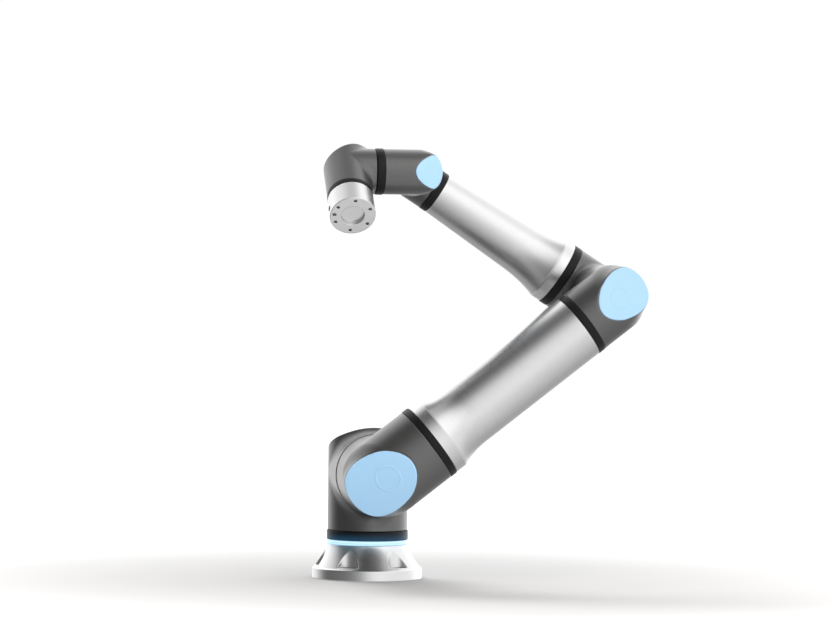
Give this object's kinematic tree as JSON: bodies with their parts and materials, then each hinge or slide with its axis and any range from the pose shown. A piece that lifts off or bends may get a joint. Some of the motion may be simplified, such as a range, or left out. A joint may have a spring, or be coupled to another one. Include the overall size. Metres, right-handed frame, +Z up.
{
  "type": "collaborative robot arm",
  "caption": "Jointed robot arm on a round bolted foot: turret, upper arm, forearm and angled wrists with geared motors inside, ending in a round tool flange.",
  "frame": {"origin": "centre of the mounting flange's underside, on the turret axis", "axes": "+Z up along the turret axis; the arm rises towards +X at rest; the links lie in front of the turret, towards -Y"},
  "size_m": [0.7079, 0.4735, 0.9634],
  "materials": {
    "casting_dark": "satin",
    "tube_metal": "brushed satin",
    "base_metal": "satin cast and turned",
    "tool_metal": "turned",
    "ring_rubber": "satin",
    "cap_plastic": "satin",
    "light_plastic": "translucent, lit",
    "connector_plastic": "matte",
    "board": "matte",
    "bearing_steel": "ground",
    "gear_steel": "ground",
    "stator_copper": "laminated core with copper windings",
    "rotor_steel": "machined"
  },
  "bodies": {
    "base": {"base_casting": "base_metal", "base_cable_gland": "connector_plastic", "light_ring": "light_plastic", "base_seal_ring": "ring_rubber", "joint_1_flexspline": "gear_steel"},
    "turret": {"turret_housing": "casting_dark", "turret_cap": "cap_plastic", "turret_drive_board": "board", "joint_1_bearings": "bearing_steel", "joint_1_circular_spline": "gear_steel", "joint_1_stator": "stator_copper", "joint_2_flexspline": "gear_steel"},
    "upper_arm": {"shoulder_housing": "casting_dark", "shoulder_cap": "cap_plastic", "upper_arm_lower_ring": "ring_rubber", "upper_arm_tube": "tube_metal", "upper_arm_upper_ring": "ring_rubber", "elbow_housing": "casting_dark", "elbow_cap": "cap_plastic", "upper_arm_drive_boards": "board", "joint_2_bearings": "bearing_steel", "joint_2_circular_spline": "gear_steel", "joint_2_stator": "stator_copper", "joint_3_bearings": "bearing_steel", "joint_3_circular_spline": "gear_steel", "joint_3_stator": "stator_copper"},
    "forearm": {"forearm_elbow_knuckle": "casting_dark", "forearm_lower_ring": "ring_rubber", "forearm_tube": "tube_metal", "forearm_upper_ring": "ring_rubber", "forearm_wrist_knuckle": "casting_dark", "joint_3_flexspline": "gear_steel", "joint_4_flexspline": "gear_steel"},
    "wrist_1": {"wrist_1_housing": "casting_dark", "wrist_1_cap": "cap_plastic", "wrist_1_seal_ring": "ring_rubber", "wrist_1_drive_board": "board", "joint_4_bearings": "bearing_steel", "joint_4_circular_spline": "gear_steel", "joint_4_stator": "stator_copper", "joint_5_flexspline": "gear_steel"},
    "wrist_2": {"wrist_2_housing": "casting_dark", "wrist_2_cap": "cap_plastic", "wrist_2_seal_ring": "ring_rubber", "wrist_2_drive_boards": "board", "joint_5_bearings": "bearing_steel", "joint_5_circular_spline": "gear_steel", "joint_5_stator": "stator_copper", "joint_6_bearings": "bearing_steel", "joint_6_circular_spline": "gear_steel", "joint_6_stator": "stator_copper"},
    "tool": {"tool_flange": "tool_metal", "tool_connector": "connector_plastic", "joint_6_flexspline": "gear_steel"},
    "joint_1_motor": {"joint_1_rotor": "rotor_steel"},
    "joint_2_motor": {"joint_2_rotor": "rotor_steel"},
    "joint_3_motor": {"joint_3_rotor": "rotor_steel"},
    "joint_4_motor": {"joint_4_rotor": "rotor_steel"},
    "joint_5_motor": {"joint_5_rotor": "rotor_steel"},
    "joint_6_motor": {"joint_6_rotor": "rotor_steel"}
  },
  "joints": [
    {"name": "joint_1_turret", "type": "hinge", "parent": "base", "child": "turret", "pos_m": [0, 0, 0], "axis": [0, 0, 1], "range_deg": [-360, 360]},
    {"name": "joint_1_motor_spin", "type": "hinge", "parent": "turret", "child": "joint_1_motor", "pos_m": [0, 0, 0], "axis": [0, 0, 1], "range_deg": [-36000, 36000]},
    {"name": "joint_2_shoulder", "type": "hinge", "parent": "turret", "child": "upper_arm", "pos_m": [0, -0.26, 0.2363], "axis": [0, -1, 0], "range_deg": [-218, 502]},
    {"name": "joint_2_motor_spin", "type": "hinge", "parent": "upper_arm", "child": "joint_2_motor", "pos_m": [0, -0.26, 0.2363], "axis": [0, -1, 0], "range_deg": [-21800, 50200]},
    {"name": "joint_3_elbow", "type": "hinge", "parent": "upper_arm", "child": "forearm", "pos_m": [0.50196, -0.26, 0.62848], "axis": [0, -1, 0], "range_deg": [-259.5, 40.5]},
    {"name": "joint_3_motor_spin", "type": "hinge", "parent": "upper_arm", "child": "joint_3_motor", "pos_m": [0.50196, -0.26, 0.62848], "axis": [0, -1, 0], "range_deg": [-4050, 25950]},
    {"name": "joint_4_wrist_1", "type": "hinge", "parent": "forearm", "child": "wrist_1", "pos_m": [0.07715, -0.043, 0.89911], "axis": [0, -1, 0], "range_deg": [-392.5, 327.5]},
    {"name": "joint_4_motor_spin", "type": "hinge", "parent": "wrist_1", "child": "joint_4_motor", "pos_m": [0.07715, -0.043, 0.89911], "axis": [0, -1, 0], "range_deg": [-39250, 32750]},
    {"name": "joint_5_wrist_2", "type": "hinge", "parent": "wrist_1", "child": "wrist_2", "pos_m": [0.07715, -0.201, 0.89911], "axis": [-1, 0, 0], "range_deg": [-400, 320]},
    {"name": "joint_5_motor_spin", "type": "hinge", "parent": "wrist_2", "child": "joint_5_motor", "pos_m": [0.07715, -0.201, 0.89911], "axis": [-1, 0, 0], "range_deg": [-40000, 32000]},
    {"name": "joint_6_tool", "type": "hinge", "parent": "wrist_2", "child": "tool", "pos_m": [-0.08215, -0.201, 0.89911], "axis": [0, -0.766, -0.6428], "range_deg": [-357, 363]},
    {"name": "joint_6_motor_spin", "type": "hinge", "parent": "wrist_2", "child": "joint_6_motor", "pos_m": [-0.08215, -0.201, 0.89911], "axis": [0, -0.766, -0.6428], "range_deg": [-36300, 35700]}
  ],
  "couplings": [
    {"joint": "joint_1_turret", "follows": "joint_1_motor_spin", "ratio": 0.01},
    {"joint": "joint_2_shoulder", "follows": "joint_2_motor_spin", "ratio": 0.01},
    {"joint": "joint_3_elbow", "follows": "joint_3_motor_spin", "ratio": -0.01},
    {"joint": "joint_4_wrist_1", "follows": "joint_4_motor_spin", "ratio": 0.01},
    {"joint": "joint_5_wrist_2", "follows": "joint_5_motor_spin", "ratio": 0.01},
    {"joint": "joint_6_tool", "follows": "joint_6_motor_spin", "ratio": -0.01}
  ]
}
